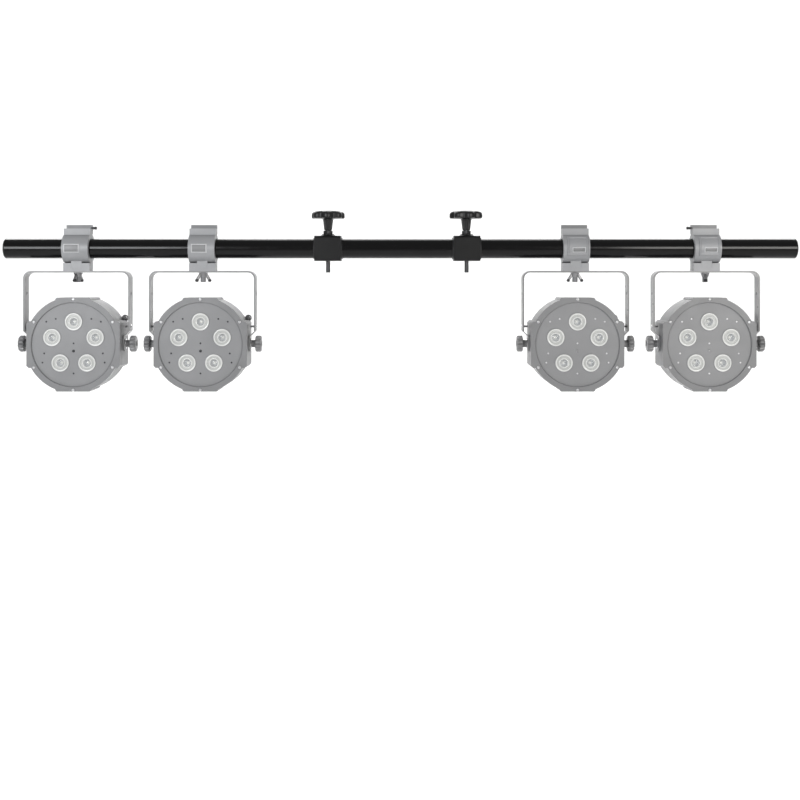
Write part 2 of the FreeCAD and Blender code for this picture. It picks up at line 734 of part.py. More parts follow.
def make_lenses(name, x):
    body = new_body(name, x, TILT_PIVOT)
    flanges = new_sketch(body, "XZ", "housing_front")
    cores = new_sketch(body, "XZ", "housing_front")
    for across, up in lens_places():
        circle(flanges, "lens_od / 2", across, up)
        circle(cores, "lens_body_od / 2", across, up)
    pad(body, flanges, "plate_thick + lens_proud")
    pad(body, cores, "lens_body", back=True)
    nodes.append(body)


def make_driver(name):
    """Driver board with its components in front and its posts behind."""
    body = new_body(name)
    board = new_sketch(body, "XZ", "-driver_back")
    rectangle(board, "-driver_half_x", "-driver_half_z", "driver_half_x", "driver_half_z")
    pad(body, board, "board")
    parts = new_sketch(body, "XZ", "-(driver_back - board)")
    left = "-driver_half_x"
    rectangle(parts, f"{left} + block_left", "-block_low", f"{left} + block_right", "block_high")
    circle(parts, "can_r", "driver_half_x - can_in", "can_high")
    circle(parts, "can_r", "driver_half_x - can_in", "-can_low")
    pad(body, parts, "part_rise")
    posts = new_sketch(body, "XZ", "-driver_back")
    for side in ("post_x", "-post_x"):
        for level in ("post_z", "-post_z"):
            circle(posts, "post_od / 2", side, level)
    pad(body, posts, "housing_back - driver_back", back=True)
    return body


def make_boards(name, x):
    """From the front: emitters, LED board, heat sink and driver."""
    sink = new_body(name + "_sink")
    disc = new_sketch(sink, "XZ", "board_front - board - sink")
    circle(disc, "sink_r")
    pad(sink, disc, "sink")
    board = new_body(name + "_leds")
    disc = new_sketch(board, "XZ", "board_front - board")
    circle(disc, "board_r")
    pad(board, disc, "board")
    emitters = new_body(name + "_emitters")
    spots = new_sketch(emitters, "XZ", "board_front")
    for across, up in lens_places():
        circle(spots, "emitter_od / 2", across, up)
    pad(emitters, spots, "emitter")
    group(name, [sink, board, emitters, make_driver(name + "_driver")], x, TILT_PIVOT)


def power_rectangles(sketch, half_x, half_z):
    for side in ("power_x", "-power_x"):
        rectangle(
            sketch, f"{side} - {half_x}", f"-(power_z + {half_z})",
            f"{side} + {half_x}", f"-(power_z - {half_z})",
        )


def make_rear_panel(name, x):
    """Rear panel, in one with its two signal and two power sockets."""
    body = new_body(name, x, TILT_PIVOT)
    plate = new_sketch(body, "XZ", "-(housing_back + panel)")
    octagon(plate, "panel_half_x", "panel_half_z", "side_bevel")
    pad(body, plate, "panel")
    socket_back = "-(housing_back + panel + socket_proud)"
    shells = new_sketch(body, "XZ", socket_back)
    bores = new_sketch(body, "XZ", socket_back)
    for side in ("signal_x", "-signal_x"):
        circle(shells, "signal_od / 2", side, "signal_z")
        circle(bores, "signal_bore_od / 2", side, "signal_z")
    power_rectangles(shells, "power_half_x", "power_half_z")
    power_rectangles(bores, "power_bore_x", "power_bore_z")
    pad(body, shells, "socket_length")
    pocket(body, bores, "socket_bore", along=True)
    nodes.append(body)


def make_tilt_knob(name, x, turn):
    body = new_body(name, x, TILT_PIVOT, turn)
    grip = new_sketch(body, "YZ", "tilt_grip_in")
    circle(grip, "tilt_grip_od / 2")
    pad(body, grip, "tilt_grip")
    radius = number("tilt_grip_od / 2")
    dress(
        "Chamfer", body, "tilt_bevel",
        lambda edge: hasattr(edge.Curve, "Radius") and abs(edge.Curve.Radius - radius) < 0.01,
    )
    notch = new_sketch(body, "YZ", "tilt_grip_in")
    circle(notch, "tilt_notch_r", "tilt_notch_out", "0")
    cut = pocket(body, notch, "tilt_grip", along=True)
    repeat_round(body, cut, notch, TILT_NOTCHES)
    neck = new_sketch(body, "YZ", "lug_x + strap + gap")
    circle(neck, "tilt_neck_od / 2")
    pad(body, neck, "tilt_grip_in - lug_x - strap - gap")
    stud = new_sketch(body, "YZ", "tilt_stud_in")
    circle(stud, "tilt_stud_od / 2")
    pad(body, stud, "tilt_grip_in - tilt_stud_in")
    nodes.append(body)


# ---- the whole object ----

make_tube()
caps = [make_end_cap("end_cap_right", None), make_end_cap("end_cap_left", HALF_TURN)]
group("end_caps", caps, "bar_shift", TUBE_AXIS)
make_bracket("bracket_left", "-bracket_span / 2")
make_bracket("bracket_right", "bracket_span / 2")
liners = [make_liner("liner_left", "-bracket_span / 2"), make_liner("liner_right", "bracket_span / 2")]
group("bracket_liners", liners)
make_bolts()
for side, (across, turn) in {"left": ("-bracket_span / 2", 90), "right": ("bracket_span / 2", 0)}.items():
    make_lock_knob(f"lock_knob_{side}", across, turn)

for lamp, wing_turn in WING_TURNS.items():
    prefix = f"lamp_{lamp}_"
    lamp_x = prefix + "x"
    make_clamp_body(prefix + "clamp_body", lamp_x)
    make_clamp_jaw(prefix + "clamp_jaw", lamp_x)
    make_clamp_fasteners(prefix + "clamp_fasteners", lamp_x)
    make_wing_nut(prefix + "wing_nut", lamp_x, wing_turn)
    make_yoke(prefix + "yoke", lamp_x)
    make_housing(prefix + "housing", lamp_x)
    make_bezel(prefix + "bezel", lamp_x)
    make_face_plate(prefix + "face_plate", lamp_x)
    make_lenses(prefix + "lenses", lamp_x)
    make_boards(prefix + "boards", lamp_x)
    make_rear_panel(prefix + "rear_panel", lamp_x)
    make_tilt_knob(prefix + "tilt_knob_right", lamp_x, None)
    make_tilt_knob(prefix + "tilt_knob_left", lamp_x, HALF_TURN)

doc.recompute()
for item in doc.Objects:
    if {"Invalid", "Error"} & set(item.State):
        raise ValueError(f"{item.Label} failed: {item.State}")
os.makedirs("parts", exist_ok=True)
for node in nodes:
    if node.Shape.isNull() or not node.Shape.isValid():
        raise ValueError(f"{node.Label} has no valid shape")
    node.Shape.exportStep(f"parts/{node.Label}.step")
    print(node.Label, len(node.Shape.Solids), round(node.Shape.Volume / 1000, 2), "cm3")
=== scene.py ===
import json
import math

import bmesh
import bpy
from mathutils import Matrix, Vector


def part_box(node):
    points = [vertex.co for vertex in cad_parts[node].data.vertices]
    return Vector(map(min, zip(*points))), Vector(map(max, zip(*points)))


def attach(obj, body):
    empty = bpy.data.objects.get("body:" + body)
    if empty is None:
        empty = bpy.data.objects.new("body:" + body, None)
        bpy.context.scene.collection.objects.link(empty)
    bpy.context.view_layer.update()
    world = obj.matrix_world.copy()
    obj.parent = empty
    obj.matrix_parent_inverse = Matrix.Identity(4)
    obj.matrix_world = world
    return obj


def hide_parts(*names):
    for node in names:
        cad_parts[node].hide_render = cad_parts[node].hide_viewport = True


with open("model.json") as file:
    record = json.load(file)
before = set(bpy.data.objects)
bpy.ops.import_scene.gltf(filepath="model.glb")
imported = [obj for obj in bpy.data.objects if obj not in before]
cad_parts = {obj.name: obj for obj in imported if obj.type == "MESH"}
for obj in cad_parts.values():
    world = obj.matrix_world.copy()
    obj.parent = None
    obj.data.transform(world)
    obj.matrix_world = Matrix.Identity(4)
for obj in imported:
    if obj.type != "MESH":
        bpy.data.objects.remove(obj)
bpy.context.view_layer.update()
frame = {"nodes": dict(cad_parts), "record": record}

# Sizes are in mm and become metres by MM; places read from the frame are in metres already.
MM = 0.001
LAMPS = (1, 2, 3, 4)
SIDES = {"left": -1, "right": 1}
SHARP_ANGLE = 35
UP = Vector((0, 0, 1))
FRONT = Vector((0, -1, 0))
BACK = Vector((0, 1, 0))


# ---- places worked out from the frame ----

def corners_of(name):
    """A CAD node's lowest and highest corners at rest."""
    low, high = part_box(name)
    return Vector(low), Vector(high)


def centre_of(name):
    low, high = corners_of(name)
    return (low + high) / 2


def front_of(name):
    return corners_of(name)[0].y


def rear_of(name):
    return corners_of(name)[1].y


def opening_centre(name):
    """The middle of one of the openings that the record states."""
    openings = frame["record"]["physics"]["openings"]
    low, high = next(item["box_m"] for item in openings if item["name"] == name)
    return (Vector(low) + Vector(high)) / 2


def tilt_axis(lamp):
    """The point where a head's tilt axis meets the lamp's middle plane, straight under the tube's axis."""
    middle = centre_of(f"lamp_{lamp}_bezel")
    return Vector((middle.x, 0, middle.z))


def on_head(lamp, y, across, up):
    """A point on a head: y in metres, across and up in mm from the tilt axis."""
    axis = tilt_axis(lamp)
    return Vector((axis.x + across * MM, y, axis.z + up * MM))


TUBE_Z = centre_of("crossbar_tube").z


# ---- materials ----

# A Mix node's colour sockets share their names with its other sockets, so they are found by number.
MIX_A, MIX_B, MIX_RESULT = 6, 7, 2


def node(tree, kind, **inputs):
    """Adds a node and sets its inputs by name; underscores stand for spaces."""
    item = tree.nodes.new(kind)
    for key, value in inputs.items():
        item.inputs[key.replace("_", " ")].default_value = value
    return item


def noise(tree, coordinates, scale, detail=2.0, stretch=(1, 1, 1)):
    """A noise texture in object space; scale counts features to a metre."""
    mapping = node(tree, "ShaderNodeMapping", Scale=stretch)
    texture = node(tree, "ShaderNodeTexNoise", Scale=scale, Detail=detail)
    tree.links.new(coordinates.outputs["Object"], mapping.inputs["Vector"])
    tree.links.new(mapping.outputs["Vector"], texture.inputs["Vector"])
    return texture


def spread(tree, texture, low, high):
    """The texture's middle values stretched over low to high."""
    ramp = node(tree, "ShaderNodeMapRange", From_Min=0.3, From_Max=0.7, To_Min=low, To_Max=high)
    tree.links.new(texture.outputs["Fac"], ramp.inputs["Value"])
    return ramp


def surface(
    name, color, rough, metal=0.0, tone=0.06, patch=14.0, grain=900.0, depth=0.00003,
    stretch=(1, 1, 1), specular=0.5, rough_span=0.05,
):
    """A finish with uneven tone, uneven gloss and fine relief.
    tone is the share by which the colour varies, and depth is the relief's in metres."""
    material = bpy.data.materials.new(name)
    material.use_nodes = True
    tree = material.node_tree
    shader = tree.nodes["Principled BSDF"]
    shader.inputs["Metallic"].default_value = metal
    shader.inputs["Specular IOR Level"].default_value = specular
    place = tree.nodes.new("ShaderNodeTexCoord")

    patches = spread(tree, noise(tree, place, patch, 4.0), 0.0, 1.0)
    blend = tree.nodes.new("ShaderNodeMix")
    blend.data_type = "RGBA"
    blend.inputs[MIX_A].default_value = (*[c * (1 - tone) for c in color], 1)
    blend.inputs[MIX_B].default_value = (*[min(c * (1 + tone), 1) for c in color], 1)
    tree.links.new(patches.outputs["Result"], blend.inputs["Factor"])
    tree.links.new(blend.outputs[MIX_RESULT], shader.inputs["Base Color"])

    gloss = spread(tree, noise(tree, place, patch * 5, 3.0, stretch), rough - rough_span, rough + rough_span)
    tree.links.new(gloss.outputs["Result"], shader.inputs["Roughness"])
    relief = node(tree, "ShaderNodeBump", Strength=0.6, Distance=depth)
    tree.links.new(noise(tree, place, grain, 3.0, stretch).outputs["Fac"], relief.inputs["Height"])
    tree.links.new(relief.outputs["Normal"], shader.inputs["Normal"])
    return material


def clear_plastic(name):
    """Clear moulded plastic: mostly seen through, with a faintly uneven surface."""
    material = surface(name, (0.93, 0.95, 0.97), 0.06, tone=0.02, grain=350.0, depth=0.00006, rough_span=0.03)
    shader = material.node_tree.nodes["Principled BSDF"]
    shader.inputs["Alpha"].default_value = 0.22
    shader.inputs["IOR"].default_value = 1.49
    return material


# Bar, brackets and lock knobs
gloss_black = surface(
    "gloss_black_paint", (0.0014, 0.0014, 0.0016), 0.16, tone=0.2, grain=300.0, depth=0.000002,
    specular=0.24, rough_span=0.03,
)
satin_black = surface(
    "satin_black_paint", (0.0055, 0.0055, 0.0058), 0.4, tone=0.12, grain=1300.0, specular=0.22,
)
liner_plastic = surface("liner_plastic", (0.02, 0.02, 0.021), 0.5, grain=1600.0, tone=0.08, specular=0.3)
cap_plastic = surface("cap_plastic", (0.005, 0.005, 0.0052), 0.38, grain=1800.0, tone=0.1, specular=0.25)
knob_plastic = surface(
    "knob_plastic", (0.008, 0.008, 0.0082), 0.34, grain=1500.0, depth=0.00004, tone=0.15, specular=0.3,
)

# Clamps, yokes and heads
clamp_paint = surface("clamp_paint", (0.24, 0.243, 0.252), 0.4, grain=700.0, depth=0.00004)
bar_paint = surface("bar_paint", (0.15, 0.152, 0.158), 0.4, grain=700.0, depth=0.00004)
label_paint = surface("label_paint", (0.46, 0.465, 0.475), 0.34, grain=700.0, depth=0.00002)
head_paint = surface("head_paint", (0.148, 0.149, 0.153), 0.42, grain=800.0)
bezel_paint = surface("bezel_paint", (0.158, 0.159, 0.163), 0.4, grain=800.0)
face_paint = surface("face_paint", (0.187, 0.188, 0.193), 0.44, grain=1100.0, depth=0.00002)
yoke_paint = surface("yoke_paint", (0.17, 0.17, 0.173), 0.32, grain=800.0)
tilt_plastic = surface("tilt_plastic", (0.15, 0.15, 0.153), 0.3, grain=1300.0)
panel_paint = surface("panel_paint", (0.03, 0.03, 0.031), 0.45, grain=1200.0)

# Fasteners
black_oxide = surface("black_oxide_steel", (0.045, 0.045, 0.047), 0.34, metal=0.9, grain=1500.0)
dark_zinc = surface("dark_zinc_steel", (0.24, 0.24, 0.245), 0.36, metal=0.85, tone=0.15, grain=900.0)
dull_zinc = surface("dull_zinc_steel", (0.5, 0.5, 0.51), 0.32, metal=0.9, tone=0.1, grain=1000.0)
zinc_steel = surface("zinc_steel", (0.7, 0.7, 0.71), 0.26, metal=1.0, tone=0.08, grain=1200.0)

# Optics and electrics
board_white = surface("board_white", (0.72, 0.74, 0.72), 0.4, grain=2000.0, depth=0.00001)
reflector_chrome = surface("reflector_chrome", (0.85, 0.86, 0.88), 0.16, metal=1.0, tone=0.03, grain=500.0)
chip_ceramic = surface("chip_ceramic", (0.42, 0.42, 0.4), 0.35, grain=2500.0, depth=0.00001)
chip_gel = surface("chip_gel", (0.75, 0.73, 0.62), 0.18, grain=2500.0, depth=0.00001)
contact_brass = surface("contact_brass", (0.72, 0.55, 0.25), 0.25, metal=1.0, grain=1500.0)
switch_red = surface("switch_red", (0.3, 0.02, 0.02), 0.4, grain=1500.0)
lens_frost = surface("lens_frost", (0.53, 0.535, 0.522), 0.18, tone=0.03, grain=600.0, depth=0.00001)
# A darker copy of the frosted lens plastic, used only in the groove between each lens and its flange: painted
# shade in that recess.
lens_groove_painted_shade = surface("lens_groove_painted_shade", (0.4, 0.405, 0.396), 0.3, tone=0.06, grain=600.0, depth=0.00001)
lens_clear = clear_plastic("lens_clear")


# ---- meshes ----

def add_piece(name, shapes, materials, body, sharp=SHARP_ANGLE):
    """Joins bmeshes into a piece that rides on a CAD body; edges over sharp degrees stay sharp."""
    return add_mesh_piece(mesh_of(name, shapes), materials, body, sharp)


def add_mesh_piece(mesh, materials, body, sharp=SHARP_ANGLE):
    """The same from a finished mesh, whose name the piece takes."""
    piece = bpy.data.objects.new(mesh.name, mesh)
    bpy.context.scene.collection.objects.link(piece)
    for material in materials:
        mesh.materials.append(material)
    mesh.shade_smooth()
    mesh.set_sharp_from_angle(angle=math.radians(sharp))
    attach(piece, body)
    return piece


def mesh_of(name, shapes):
    """One mesh from several bmeshes, which it uses up."""
    whole = bmesh.new()
    for shape in shapes:
        part = bpy.data.meshes.new(name + "_part")
        shape.to_mesh(part)
        whole.from_mesh(part)
        shape.free()
        bpy.data.meshes.remove(part)
    bmesh.ops.recalc_face_normals(whole, faces=whole.faces)
    mesh = bpy.data.meshes.new(name)
    whole.to_mesh(mesh)
    whole.free()
    return mesh


def aim(origin, axis, turn=0.0):
    """A matrix that takes local +Z to axis at origin, turned about it by turn degrees."""
    rotation = UP.rotation_difference(axis).to_matrix().to_4x4()
    return Matrix.Translation(origin) @ rotation @ Matrix.Rotation(math.radians(turn), 4, "Z")


def lathe(profile, place, segments=48, reach=None, material=0):
    """A turned solid from (radius, height) points in mm. A profile ends on the axis or closes on itself.
    reach(angle, radius, height) gives the radius instead, where the solid isn't round."""
    shape = bmesh.new()
    rings = []
    for radius, height in profile:
        if radius == 0:
            rings.append([shape.verts.new((0, 0, height * MM))])
            continue
        ring = []
        for k in range(segments):
            angle = 2 * math.pi * k / segments
            out = reach(angle, radius, height) if reach else radius
            ring.append(shape.verts.new((
                out * MM * math.cos(angle), out * MM * math.sin(angle), height * MM,
            )))
        rings.append(ring)
    closed = len(rings[0]) > 1 and len(rings[-1]) > 1
    pairs = list(zip(rings, rings[1:])) + ([(rings[-1], rings[0])] if closed else [])
    for low, high in pairs:
        for k in range(segments):
            after = (k + 1) % segments
            if len(low) == 1:
                corners = (low[0], high[k], high[after])
            elif len(high) == 1:
                corners = (low[k], high[0], low[after])
            else:
                corners = (low[k], high[k], high[after], low[after])
            shape.faces.new(corners).material_index = material
    shape.transform(place)
    return shape


def prism(outline, thickness, place, bevel=0.0, material=0):
    """An outline of (x, y) points in mm, extruded both ways from the local XY plane, with rounded edges."""
    shape = bmesh.new()
    low = [shape.verts.new((x * MM, y * MM, -thickness / 2 * MM)) for x, y in outline]
    face = shape.faces.new(low)
    top = bmesh.ops.extrude_face_region(shape, geom=[face])["geom"]
    lifted = [item for item in top if isinstance(item, bmesh.types.BMVert)]
    bmesh.ops.translate(shape, verts=lifted, vec=(0, 0, thickness * MM))
    bmesh.ops.recalc_face_normals(shape, faces=shape.faces)
    if bevel:
        bmesh.ops.bevel(
            shape, geom=shape.edges[:], offset=bevel * MM, segments=3, profile=0.5, affect="EDGES",
        )
    for item in shape.faces:
        item.material_index = material
    shape.transform(place)
    return shape


def block(size, place, bevel):
    """A box of size (x, y, z) in mm about its place, with rounded edges."""
    half_x, half_y = size[0] / 2, size[1] / 2
    corners = [(-half_x, -half_y), (half_x, -half_y), (half_x, half_y), (-half_x, half_y)]
    return prism(corners, size[2], place, bevel)


def round_outline(radius, sides, start=0.0):
    """Points evenly spaced round a circle, the first at start degrees."""
    turns = [math.radians(start) + 2 * math.pi * k / sides for k in range(sides)]
    return [(radius * math.cos(turn), radius * math.sin(turn)) for turn in turns]


def ring_of(radius, wire, place):
    """A torus of a wire of radius wire about the local Z axis."""
    return lathe([(radius + x, y) for x, y in round_outline(wire, 12)], place, 36)


def threaded(radius, low, high, place, pitch=1.5, thread_depth=0.5):
    """A stud's visible thread, as ridges with flattened crests."""
    root, crest = radius - thread_depth, radius - 0.08
    profile = [(0, low)]
    height = low
    while height < high - pitch / 2:
        profile += [(root, height), (crest, height + pitch * 0.4), (crest, height + pitch * 0.6)]
        height += pitch
    profile += [(root, high), (0, high)]
    return lathe(profile, place, 32)


def scallops(count, depth, rim, narrow, fade):
    """A reach function for lathe that cuts count flutes, of full depth at the rim.
    narrow narrows each flute, and fade holds them near the rim."""
    def reach(angle, radius, height):
        dip = (0.5 - 0.5 * math.cos(count * angle)) ** narrow
        return radius - depth * dip * (radius / rim) ** fade
    return reach


def cut(piece_mesh, tool_shapes):
    """The mesh with the tool shapes taken out of it."""
    holder = bpy.data.objects.new("cut_holder", piece_mesh)
    tool = bpy.data.objects.new("cut_tool", mesh_of("cut_tool", tool_shapes))
    for item in (holder, tool):
        bpy.context.scene.collection.objects.link(item)
    modifier = holder.modifiers.new("cut", "BOOLEAN")
    modifier.operation = "DIFFERENCE"
    modifier.solver = "EXACT"
    modifier.object = tool
    graph = bpy.context.evaluated_depsgraph_get()
    result = bpy.data.meshes.new_from_object(holder.evaluated_get(graph))
    bpy.data.objects.remove(holder)
    bpy.data.objects.remove(tool)
    return result


def copies(name, master, places):
    """One mesh made of the master mesh at each place."""
    shapes = []
    for place in places:
        shape = bmesh.new()
        shape.from_mesh(master)
        shape.transform(place)
        shapes.append(shape)
    return mesh_of(name, shapes)


def pan_head(name, head_r, rise):
    """A pan-head screw with a cross recess, seat at the local origin."""
    dome = [
        (0, rise), (head_r * 0.45, rise * 0.97), (head_r * 0.8, rise * 0.75),
        (head_r * 0.97, rise * 0.35), (head_r, 0), (0, -0.4),
    ]
    head = mesh_of(name, [lathe(dome, Matrix.Identity(4), 28)])
    arm, half = head_r * 0.55, head_r * 0.13
    cross = [
        (arm, -half), (arm, half), (half, half), (half, arm), (-half, arm), (-half, half),
        (-arm, half), (-arm, -half), (-half, -half), (-half, -arm), (half, -arm), (half, -half),
    ]
    return cut(head, [prism(cross, rise, aim(UP * rise * MM, UP))])


def socket_head(name, head_r, rise):
    """A cap screw's head with a hexagon socket, seat at the local origin."""
    rim = [(0, rise), (head_r * 0.9, rise), (head_r, rise * 0.9), (head_r, 0.3), (head_r - 0.2, 0), (0, 0)]
    head = mesh_of(name, [lathe(rim, Matrix.Identity(4), 36)])
    socket = prism(round_outline(head_r * 0.55, 6), rise, aim(UP * rise * MM, UP))
    return cut(head, [socket])


# ---- the CAD pieces that stay: finish and softened edges ----

def finish_node(name, material, edge, segments=2):
    """Gives a CAD piece its material, and rounds its sharp edges by edge mm."""
    item = frame["nodes"][name]
    item.data.materials.clear()
    item.data.materials.append(material)
    rounding = item.modifiers.new("rounded_edges", "BEVEL")
    rounding.width = edge * MM
    rounding.segments = segments
    rounding.limit_method = "ANGLE"
    rounding.angle_limit = math.radians(SHARP_ANGLE)
    rounding.use_clamp_overlap = True
    rounding.harden_normals = False


BAR_FINISHES = {
    "crossbar_tube": (gloss_black, 0.3),
    "end_caps": (cap_plastic, 0.5),
    "bracket_left": (satin_black, 0.5),
    "bracket_right": (satin_black, 0.5),
    "bracket_liners": (liner_plastic, 0.4),
    "mounting_bolts": (black_oxide, 0.6),
}
LAMP_FINISHES = {
    "clamp_body": (clamp_paint, 0.9, 3),
    "clamp_jaw": (clamp_paint, 0.9, 3),
    "clamp_fasteners": (bar_paint, 0.6),
    "yoke": (yoke_paint, 0.5),
    "housing": (head_paint, 0.9, 3),
    "bezel": (bezel_paint, 0.6),
    "face_plate": (face_paint, 0.3),
    "boards": (board_white, 0.2),
    "rear_panel": (panel_paint, 0.3),
}
for name, finish in BAR_FINISHES.items():
    finish_node(name, *finish)
for lamp in LAMPS:
    for part, finish in LAMP_FINISHES.items():
        finish_node(f"lamp_{lamp}_{part}", *finish)


# ---- bar group ----

LOCK_TURNS = {"left": 270, "right": 180}    # degrees about the stud
LOCK_GRIP_R, LOCK_GRIP_THICK, LOCK_NECK = 32.25, 15, 22.9
LOCK_STUD_R = 5.0
JAM_NUT_R, JAM_NUT_THICK, JAM_NUT_GAP = 9.8, 6.4, 0.4
BOSS_R, BOSS_RISE = 11.8, 3.2
WELD_RUNS = 26


def make_lock_knob(side):
    """A star grip with seven lobes on a ribbed neck, its stud, and the nut jammed under it."""
    name = f"lock_knob_{side}"
    body = f"lock_{side}"
    low, high = corners_of(name)
    middle = (low + high) / 2
    base = Vector((middle.x, middle.y, 0))
    top = high.z / MM
    under = top - LOCK_GRIP_THICK
    neck_low = under - LOCK_NECK
    profile = [
        (0, top - 0.6), (7, top - 0.5), (9, top), (18, top - 0.1), (25, top - 0.8), (29, top - 2.2),
        (31.3, top - 4.2), (LOCK_GRIP_R, top - 7), (LOCK_GRIP_R, under + 2.4), (31.6, under + 0.9),
        (30, under), (22, under + 0.3), (14, under + 0.6), (10.2, under - 0.2), (9.2, under - 3),
        (8.6, under - 8), (7.8, under - 14), (7.2, neck_low + 2), (6.8, neck_low + 0.4), (6.2, neck_low),
        (0, neck_low),
    ]
    lobes = scallops(count=7, depth=5.5, rim=LOCK_GRIP_R, narrow=1.6, fade=5)

    def outline(angle, radius, height):
        on_neck = neck_low + 1 < height < under - 1 and radius < 12
        ribs = 0.45 * math.cos(8 * angle) if on_neck else 0
        return lobes(angle, radius, height) + ribs

    grip = lathe(profile, aim(base, UP, LOCK_TURNS[side]), 112, outline)
    piece = add_piece(name + "_grip", [grip], [knob_plastic], body, 50)
    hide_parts(name)
    rounding = piece.modifiers.new("smooth", "SUBSURF")
    rounding.levels = 1
    rounding.render_levels = 1

    stud = threaded(LOCK_STUD_R, low.z / MM, neck_low + 0.4, aim(base, UP))
    add_piece(name + "_stud", [stud], [zinc_steel], body, 30)
    nut_middle = base + UP * (neck_low - JAM_NUT_GAP - JAM_NUT_THICK / 2) * MM
    nut = prism(round_outline(JAM_NUT_R, 6, 30), JAM_NUT_THICK, aim(nut_middle, UP), bevel=0.7)
    add_piece(name + "_jam_nut", [nut], [black_oxide], body)


def make_weld_bead(side):
    """The fillet weld round the bracket's boss, in short overlapping runs."""
    low, high = corners_of(f"bracket_{side}")
    seat = Vector(((low.x + high.x) / 2, 0, high.z - BOSS_RISE * MM))

    def ripple(angle, radius, height):
        outside = radius > BOSS_R + 0.4
        return radius + (0.25 * math.cos(WELD_RUNS * angle) if outside else 0)

    profile = [(BOSS_R, 2.2), (12.5, 1.9), (13.4, 1.0), (14.3, 0.1), (14.2, -0.2), (BOSS_R, -0.2)]
    bead = lathe(profile, aim(seat, UP), 4 * WELD_RUNS, ripple)
    add_piece(f"boss_weld_{side}", [bead], [satin_black], "brackets", 60)


for side in SIDES:
    make_lock_knob(side)
    make_weld_bead(side)


# ---- pipe clamps and yokes ----

CAP_SCREW_R, CAP_SCREW_RISE = 4.6, 6.2
YOKE_STUD_R, YOKE_STUD_LONG = 5.0, 12
# Places on a clamp: out from its middle, in from the fasteners' rear, and above the tube's axis
CLOSING_SCREW_AT = (15, 6, 33.5)
BAR_PIN_AT = (22, 8, 39.5)
# The side on which the closing bar's pin end stands out, on the lamps where it does
BAR_PIN_SIDES = {1: 1, 4: -1}
# Rivet heads on the yoke: above the tilt axis, and in from the yoke's widest point
RIVET_UP, RIVET_IN = 33, 1.5

WING_TURNS = {1: 75, 2: 30, 3: 0, 4: 80}    # degrees about the stud
WING_THICK = 5.0
WING_TIP_AT, WING_TIP_R, WING_TIP_THICK = (12.8, -14.8), 3.0, 6.2

cap_screw = socket_head("cap_screw", CAP_SCREW_R, CAP_SCREW_RISE)


def plate_rise(inset, border, proud):
    """A plate's height inset mm from its edge: up a short slope, level on the border, down to the field."""
    outer_slope, inner_slope, field_share, sunk = 0.6, 0.5, 0.25, 0.05
    up = min(inset / outer_slope, 1)
    down = max(field_share, min(1, 1 - (inset - border) / inner_slope))
    return proud * up * down - sunk


def make_plate(lamp, title, shift, size, border, proud, finishes):
    """A blank plate with a raised border, bent to the clamp's front curve. shift moves its middle across
    and up, and the second finish is for the field inside the border."""
    name = f"lamp_{lamp}_{title}"
    clamp = f"lamp_{lamp}_clamp_body"
    middle_x, radius = centre_of(clamp).x, rear_of(clamp) / MM
    wide, tall = size
    columns, rows, bed = 40, 26, 0.7
    shape = bmesh.new()

    def point(column, row, front):
        across, up = wide * (column / columns - 0.5), tall * (row / rows - 0.5)
        inset = min(wide / 2 - abs(across), tall / 2 - abs(up))
        reach = radius + (plate_rise(inset, border, proud) if front else -bed)
        angle = (shift[1] + up) / radius
        return shape.verts.new((
            middle_x + (shift[0] + across) * MM,
            -reach * MM * math.cos(angle),
            TUBE_Z + reach * MM * math.sin(angle),
        ))

    front, rear = (
        [[point(column, row, is_front) for column in range(columns + 1)] for row in range(rows + 1)]
        for is_front in (True, False)
    )
    for grid in (front, rear):
        for row in range(rows):
            for column in range(columns):
                corners = [
                    grid[row][column], grid[row][column + 1],
                    grid[row + 1][column + 1], grid[row + 1][column],
                ]
                face = shape.faces.new(corners)
                inset_x = wide * (0.5 - abs((column + 0.5) / columns - 0.5))
                inset_y = tall * (0.5 - abs((row + 0.5) / rows - 0.5))
                face.material_index = 1 if min(inset_x, inset_y) > border + 0.3 else 0
    for column in (0, columns):
        for row in range(rows):
            shape.faces.new((
                front[row][column], front[row + 1][column], rear[row + 1][column], rear[row][column],
            ))
    for row in (0, rows):
        for column in range(columns):
            shape.faces.new((
                front[row][column], front[row][column + 1], rear[row][column + 1], rear[row][column],
            ))
    add_piece(name, [shape], finishes, f"lamp_{lamp}_clamp", 40)


def on_clamp(lamp, side, place):
    """A point on a clamp, by its place out to one side, in from the rear, and above the tube's axis."""
    out, inward, up = place
    middle_x = centre_of(f"lamp_{lamp}_clamp_body").x
    rear = rear_of(f"lamp_{lamp}_clamp_fasteners")
    return Vector((middle_x + side * out * MM, rear - inward * MM, TUBE_Z + up * MM))


def make_clamp_details(lamp):
    """Closing screw heads, the pin end of the closing bar where it stands out, and the yoke stud's thread."""
    prefix = f"lamp_{lamp}_"
    body = prefix + "clamp"
    places = [aim(on_clamp(lamp, side, CLOSING_SCREW_AT), BACK, 15 * side) for side in (-1, 1)]
    screws = copies(prefix + "closing_screws", cap_screw, places)
    add_mesh_piece(screws, [black_oxide], body)
    if lamp in BAR_PIN_SIDES:
        side = BAR_PIN_SIDES[lamp]
        profile = [(0, 0), (2.6, 0), (2.6, 7.6), (2.9, 7.9), (2.9, 10.2), (2.5, 10.7), (0, 10.8)]
        pin = lathe(profile, aim(on_clamp(lamp, side, BAR_PIN_AT), Vector((side, 0, 0))), 28)
        add_piece(prefix + "bar_pin", [pin], [black_oxide], body)
    stud_low = corners_of(prefix + "clamp_fasteners")[0].z / MM
    stud_place = aim(Vector((centre_of(prefix + "clamp_body").x, 0, 0)), UP)
    stud = threaded(YOKE_STUD_R, stud_low - 0.2, stud_low + YOKE_STUD_LONG, stud_place)
    add_piece(prefix + "stud_thread", [stud], [black_oxide], body, 30)


